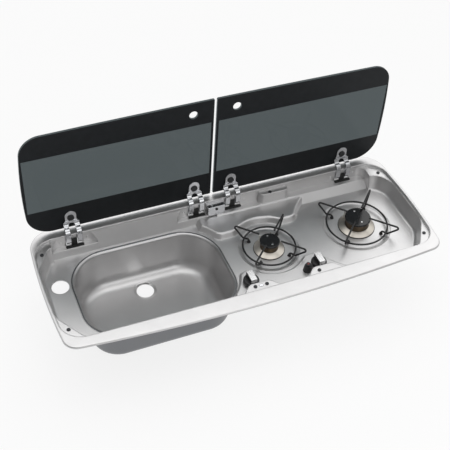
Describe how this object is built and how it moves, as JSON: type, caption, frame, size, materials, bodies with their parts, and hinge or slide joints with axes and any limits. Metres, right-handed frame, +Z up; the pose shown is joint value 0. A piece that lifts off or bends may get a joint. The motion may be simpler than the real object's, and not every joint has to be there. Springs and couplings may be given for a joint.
{
  "type": "rv sink and hob with glass lid",
  "caption": "Drop-in steel sink and gas hob in one pressed top, with upright hinged dark glass lids, wire pan supports, knobs, igniter and gas pipework below.",
  "frame": {"origin": "on the worktop plane, below the gap where the two lids meet, on the line through both burners", "axes": "+X along the unit from the sink to the hob, +Y to the hinged back edge, +Z up out of the worktop"},
  "size_m": [0.9, 0.3698, 0.4388],
  "materials": {
    "plate_steel": "satin stainless sheet",
    "bowl_steel": "satin stainless, slightly duller inside",
    "bright_steel": "bright polished steel",
    "pin_steel": "turned steel",
    "bracket_steel": "zinc plated",
    "rivet_steel": "plain rivet",
    "probe_steel": "heat tinted",
    "rail_steel": "zinc plated tube",
    "dish_steel": "spun ring, satin",
    "cast_aluminium": "as cast",
    "pipe_aluminium": "drawn tube",
    "brass_fitting": "turned",
    "brass_ring": "turned, dulled by heat",
    "black_enamel": "matt vitreous enamel",
    "support_enamel": "satin black enamel on steel wire",
    "black_plastic": "moulded, satin",
    "button_plastic": "moulded, satin, with a small red dot",
    "silver_plastic": "metallised insert",
    "white_plastic": "moulded",
    "bush_nylon": "natural nylon",
    "black_rubber": "matt",
    "stud_rubber": "soft grey buffer",
    "grey_seal": "closed-cell foam strip",
    "dark_screw": "blackened screw with a plastic cover",
    "insulator": "glazed insulator",
    "tinted_glass": "grey tinted toughened glass, printed black along two edges"
  },
  "bodies": {
    "unit": {"cap_rivets": "rivet_steel", "centre_bracket": "bright_steel", "centre_bracket_screw": "dark_screw", "gas_inlet": "rail_steel", "gas_jets": "brass_fitting", "gas_rail": "rail_steel", "hinge_foot_strips": "black_rubber", "hinge_pins": "pin_steel", "hinge_rivets": "rivet_steel", "igniter_bezel": "black_plastic", "igniter_generator": "white_plastic", "left_burner_body": "cast_aluminium", "left_burner_cap": "black_enamel", "left_burner_gasket": "black_rubber", "left_drip_ring": "dish_steel", "left_flame_ring": "brass_ring", "left_gas_pipe": "pipe_aluminium", "left_gas_valve": "cast_aluminium", "left_inner_hinge_bracket": "bracket_steel", "left_outer_hinge_bracket": "bracket_steel", "left_pan_support": "support_enamel", "lid_studs": "stud_rubber", "pan_support_feet": "black_rubber", "right_burner_body": "cast_aluminium", "right_burner_cap": "black_enamel", "right_burner_gasket": "black_rubber", "right_drip_ring": "dish_steel", "right_flame_ring": "brass_ring", "right_gas_pipe": "pipe_aluminium", "right_gas_valve": "cast_aluminium", "right_inner_hinge_bracket": "bracket_steel", "right_outer_hinge_bracket": "bracket_steel", "right_pan_support": "support_enamel", "rim_seal": "grey_seal", "sink_bowl": "bowl_steel", "spark_electrodes": "insulator", "thermocouples": "probe_steel", "top_plate": "plate_steel", "travel_catch": "bright_steel"},
    "left_lid": {"left_lid_glass": "tinted_glass", "left_outer_hinge_arm": "bright_steel", "left_inner_hinge_arm": "bright_steel", "left_lid_screws": "dark_screw", "left_glass_bushes": "bush_nylon", "left_screw_caps": "black_plastic"},
    "right_lid": {"right_lid_glass": "tinted_glass", "right_outer_hinge_arm": "bright_steel", "right_inner_hinge_arm": "bright_steel", "right_lid_screws": "dark_screw", "right_glass_bushes": "bush_nylon", "right_screw_caps": "black_plastic"},
    "left_spindle": {"left_knob_spindle": "brass_fitting"},
    "left_knob": {"left_knob": "black_plastic", "left_knob_insert": "silver_plastic"},
    "right_spindle": {"right_knob_spindle": "brass_fitting"},
    "right_knob": {"right_knob": "black_plastic", "right_knob_insert": "silver_plastic"},
    "igniter_button": {"igniter_button": "button_plastic"}
  },
  "joints": [
    {"name": "left_lid_hinge", "type": "hinge", "parent": "unit", "child": "left_lid", "pos_m": [-0.1935, 0.1535, -0.012], "axis": [1, 0, 0], "range_deg": [0, 90]},
    {"name": "right_lid_hinge", "type": "hinge", "parent": "unit", "child": "right_lid", "pos_m": [0.1935, 0.1535, -0.012], "axis": [1, 0, 0], "range_deg": [0, 90]},
    {"name": "left_knob_push", "type": "slide", "parent": "unit", "child": "left_spindle", "axis": [0, 0, -1], "range_m": [0, 0.0035], "stiffness_N_per_m": 1500},
    {"name": "left_knob_turn", "type": "hinge", "parent": "left_spindle", "child": "left_knob", "pos_m": [-0.003, -0.089, -0.02], "axis": [0, 0, 1], "range_deg": [0, 210]},
    {"name": "right_knob_push", "type": "slide", "parent": "unit", "child": "right_spindle", "axis": [0, 0, -1], "range_m": [0, 0.0035], "stiffness_N_per_m": 1500},
    {"name": "right_knob_turn", "type": "hinge", "parent": "right_spindle", "child": "right_knob", "pos_m": [0.165, -0.089, -0.02], "axis": [0, 0, 1], "range_deg": [0, 210]},
    {"name": "igniter_push", "type": "slide", "parent": "unit", "child": "igniter_button", "axis": [0, 0, -1], "range_m": [0, 0.004], "stiffness_N_per_m": 800}
  ]
}
